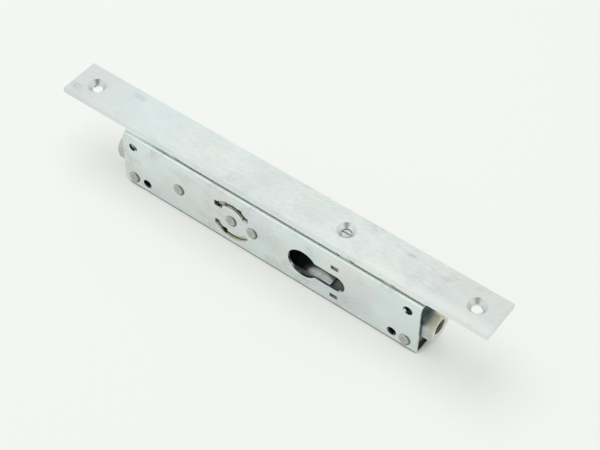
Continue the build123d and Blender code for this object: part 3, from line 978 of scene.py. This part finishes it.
class LOCK_OT_turned_parts(Operator):
    """Turned steel on the sleeves, spacers, hub and pins"""

    bl_idname = "lock.finish_turned_parts"
    bl_label = "Finish the turned parts"

    def execute(self, context):
        dress(TURNED_NODES, "turned_steel")
        return {"FINISHED"}


class LOCK_OT_brake_spring(Operator):
    """Blued spring steel on the brake's leaf"""

    bl_idname = "lock.finish_brake_spring"
    bl_label = "Finish the brake spring"

    def execute(self, context):
        dress(SPRING_NODES, "spring_steel")
        return {"FINISHED"}


class LOCK_OT_cylinder_screw(Operator):
    """Plated steel on the cylinder screw"""

    bl_idname = "lock.finish_cylinder_screw"
    bl_label = "Finish the cylinder screw"

    def execute(self, context):
        dress(SCREW_NODES, "screw_steel")
        return {"FINISHED"}


class LOCK_OT_slides(Operator):
    """Straw passivation on the slides, the rotor's cheeks and the drive lugs"""

    bl_idname = "lock.finish_slides"
    bl_label = "Finish the slides"

    def execute(self, context):
        dress(SLIDE_NODES, "yellow_zinc")
        return {"FINISHED"}


class LOCK_OT_couplings(Operator):
    """Cast zinc on the two rod couplings"""

    bl_idname = "lock.finish_couplings"
    bl_label = "Finish the couplings"

    def execute(self, context):
        dress(COUPLING_NODES, "cast_zinc")
        return {"FINISHED"}


class LOCK_OT_floor_lip(Operator):
    """Zinc lip that closes the near end of the case floor's window"""

    bl_idname = "lock.add_floor_lip"
    bl_label = "Add the floor lip"

    def execute(self, context):
        sizes = context.scene.lock_floor_lip
        low = (sizes.start, -sizes.width / 2, sizes.low)
        high = (sizes.start + sizes.length, sizes.width / 2, sizes.low + sizes.thickness)
        piece = plain_box("case_floor_lip", low, high)
        piece.data.materials.append(finish_for("zinc_sheet"))
        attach(piece, "case")
        return {"FINISHED"}


class LOCK_OT_rod_threads(Operator):
    """A screw thread inside each rod coupling, moving with its slide"""

    bl_idname = "lock.cut_rod_threads"
    bl_label = "Cut the rod threads"

    def execute(self, context):
        sizes = context.scene.lock_rod_threads
        for side, sign, body in (("right", 1, "right_bar"), ("left", -1, "left_bar")):
            low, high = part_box(f"{side}_coupling")
            end = high.x if sign > 0 else low.x
            mouth_end = end - sign * sizes.mouth
            inner_end = mouth_end - sign * sizes.length
            piece = thread_lining(f"{side}_thread_lining", inner_end, mouth_end, sizes)
            piece.data.materials.append(finish_for("cast_zinc"))
            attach(piece, body)
        return {"FINISHED"}


def floor_paper(studio):
    """Matt paper with a breath of unevenness in its roughness.

    Where the air above it is open, a share of it is seen at its own colour, which keeps the
    shadows pale, and far off all of it is. Shut in under the case its colour is painted dark, a
    painted shade.
    """
    material, tree, shader = new_metal("studio_paper")
    place = turned_place(tree)
    rough = between(tree, grain_noise(tree, place, PAPER_FIBRES), 0.9, 1.0)
    open_air = add(tree, "ShaderNodeAmbientOcclusion", samples=8)
    feed(tree, open_air, Distance=studio.shut_in_reach)
    open_share = open_air.outputs["AO"]
    # Painted shade: where walls shut the paper in, its colour turns dark.
    pale = spread(tree, open_share, *PALE_OPENNESS)
    paper = blend(tree, pale, SHUT_IN_SHADE, studio.floor_colour)
    feed(tree, shader, Base_Color=paper, Roughness=rough, Metallic=0.0, Specular_IOR_Level=0.0)
    glow = spread(tree, open_share, *GLOW_OPENNESS, to_high=studio.paper_glow)
    far_off = spread(tree, vector(tree, "LENGTH", place), *FAR_PAPER)
    glow = number(tree, "MAXIMUM", glow, far_off)
    seen = seen_by(tree, "Is Camera Ray", "Is Glossy Ray", "Is Transmission Ray")
    plain = add(tree, "ShaderNodeEmission")
    feed(tree, plain, Color=(*studio.floor_colour, 1), Strength=1.0)
    mixed = mix_shaders(tree, times(tree, seen, glow), shader.outputs[0], plain.outputs[0])
    tree.links.new(mixed, tree.nodes["Material Output"].inputs["Surface"])
    return material


def toward(tree, direction, low, high, to_low=0.0, to_high=1.0):
    """A value that changes between two cosines of the angle from one of the world's directions."""
    way = add(tree, "ShaderNodeTexCoord").outputs["Generated"]
    unit = tuple(np.array(direction) / np.linalg.norm(direction))
    return spread(tree, vector(tree, "DOT_PRODUCT", way, unit), low, high, to_low, to_high)


def backdrop(tree, colour, strength):
    """The world's light, of a colour and a strength."""
    node = add(tree, "ShaderNodeBackground")
    return feed(tree, node, Color=colour, Strength=strength).outputs[0]


def studio_air(studio):
    """Even light all round; reflections also see the studio's dark side, its strip and panel."""
    world = bpy.data.worlds.new("studio_air")
    world.use_nodes = True
    tree = world.node_tree
    tree.nodes.clear()
    lit = backdrop(tree, (1.0, 1.0, 1.0, 1.0), studio.air_level)
    plain = backdrop(tree, (*studio.floor_colour, 1), 1.0)
    dim = toward(tree, DARK_SIDE, studio.dark_edge, studio.dark_edge + DARK_FADE)
    room = blend(tree, dim, studio.floor_colour, studio.dark_colour)
    strip = toward(tree, STRIP_SIDE, *STRIP_COSINES, to_low=1.0, to_high=studio.strip_level)
    panel = toward(tree, PANEL_SIDE, *PANEL_COSINES, to_low=1.0, to_high=studio.panel_level)
    mirrored = backdrop(tree, room, times(tree, strip, panel))
    looked_at = seen_by(tree, "Is Camera Ray", "Is Transmission Ray")
    straight = mix_shaders(tree, looked_at, lit, plain)
    air = mix_shaders(tree, seen_by(tree, "Is Glossy Ray"), straight, mirrored)
    out = add(tree, "ShaderNodeOutputWorld")
    tree.links.new(air, out.inputs["Surface"])
    return world


class LOCK_OT_studio(Operator):
    """Pale paper floor, even air, one softbox overhead, and the camera"""

    bl_idname = "lock.set_up_studio"
    bl_label = "Set up the studio"

    def execute(self, context):
        studio = context.scene.lock_studio
        half = studio.floor_size / 2
        square = ((-half, -half), (half, -half), (half, half), (-half, half))
        corners = [(x, y, FLOOR_HEIGHT) for x, y in square]
        floor = new_piece("studio_floor", corners, [(0, 1, 2, 3)])
        floor.data.materials.append(floor_paper(studio))
        context.scene.world = studio_air(studio)

        # A lamp of this power lights the floor under it as a white world of that level does.
        lamp = bpy.data.lights.new("softbox", "AREA")
        lamp.shape = "SQUARE"
        lamp.size = studio.box_size
        lamp.energy = (math.pi * studio.box_distance) ** 2 * studio.box_level
        softbox = bpy.data.objects.new("softbox", lamp)
        direction = np.array(BOX_DIRECTION) / np.linalg.norm(BOX_DIRECTION)
        softbox.location = tuple(direction * studio.box_distance)
        softbox.rotation_euler = (
            math.acos(direction[2]),
            0.0,
            math.atan2(direction[1], direction[0]) + math.pi / 2,
        )
        softbox.visible_camera = False
        softbox.visible_glossy = False
        context.scene.collection.objects.link(softbox)

        lens = bpy.data.cameras.new("photo_camera")
        lens.lens = studio.lens
        lens.sensor_width = SENSOR_WIDTH
        lens.clip_start = NEAREST
        lens.clip_end = FARTHEST
        camera = bpy.data.objects.new("photo_camera", lens)
        camera.location = CAMERA_PLACE
        camera.rotation_euler = tuple(math.radians(turn) for turn in CAMERA_TURN)
        context.scene.collection.objects.link(camera)
        context.scene.camera = camera
        context.scene.view_settings.view_transform = "Standard"
        return {"FINISHED"}


STEPS = (
    LOCK_OT_faceplate,
    LOCK_OT_case,
    LOCK_OT_rivets,
    LOCK_OT_turned_parts,
    LOCK_OT_brake_spring,
    LOCK_OT_cylinder_screw,
    LOCK_OT_slides,
    LOCK_OT_couplings,
    LOCK_OT_rod_threads,
    LOCK_OT_floor_lip,
    LOCK_OT_studio,
)

SETTINGS = {
    "lock_finishes": LockFinishes,
    "lock_rod_threads": RodThreadSizes,
    "lock_floor_lip": FloorLipSizes,
    "lock_studio": StudioSetup,
}


class LOCK_PT_panel(Panel):
    """Lists the lock's steps and what they read"""

    bl_idname = "LOCK_PT_panel"
    bl_label = "Espagnolette lock"
    bl_space_type = "VIEW_3D"
    bl_region_type = "UI"
    bl_category = "Lock"

    def draw(self, context):
        scene = context.scene
        for step in STEPS:
            self.layout.operator(step.bl_idname)
        for setting in SETTINGS:
            group = getattr(scene, setting)
            box = self.layout.box()
            for name in group.__annotations__:
                box.prop(group, name)


def register():
    for group in SETTINGS.values():
        bpy.utils.register_class(group)
    for step in (*STEPS, LOCK_PT_panel):
        bpy.utils.register_class(step)
    for name, group in SETTINGS.items():
        setattr(bpy.types.Scene, name, PointerProperty(type=group))


def unregister():
    for name in SETTINGS:
        delattr(bpy.types.Scene, name)
    for step in reversed((*STEPS, LOCK_PT_panel)):
        bpy.utils.unregister_class(step)
    for group in SETTINGS.values():
        bpy.utils.unregister_class(group)


def main():
    """Runs every step in order."""
    register()
    bpy.ops.lock.finish_faceplate()
    bpy.ops.lock.finish_case()
    bpy.ops.lock.finish_rivets()
    bpy.ops.lock.finish_turned_parts()
    bpy.ops.lock.finish_brake_spring()
    bpy.ops.lock.finish_cylinder_screw()
    bpy.ops.lock.finish_slides()
    bpy.ops.lock.finish_couplings()
    bpy.ops.lock.cut_rod_threads()
    bpy.ops.lock.add_floor_lip()
    bpy.ops.lock.set_up_studio()


if __name__ == "__main__":
    main()
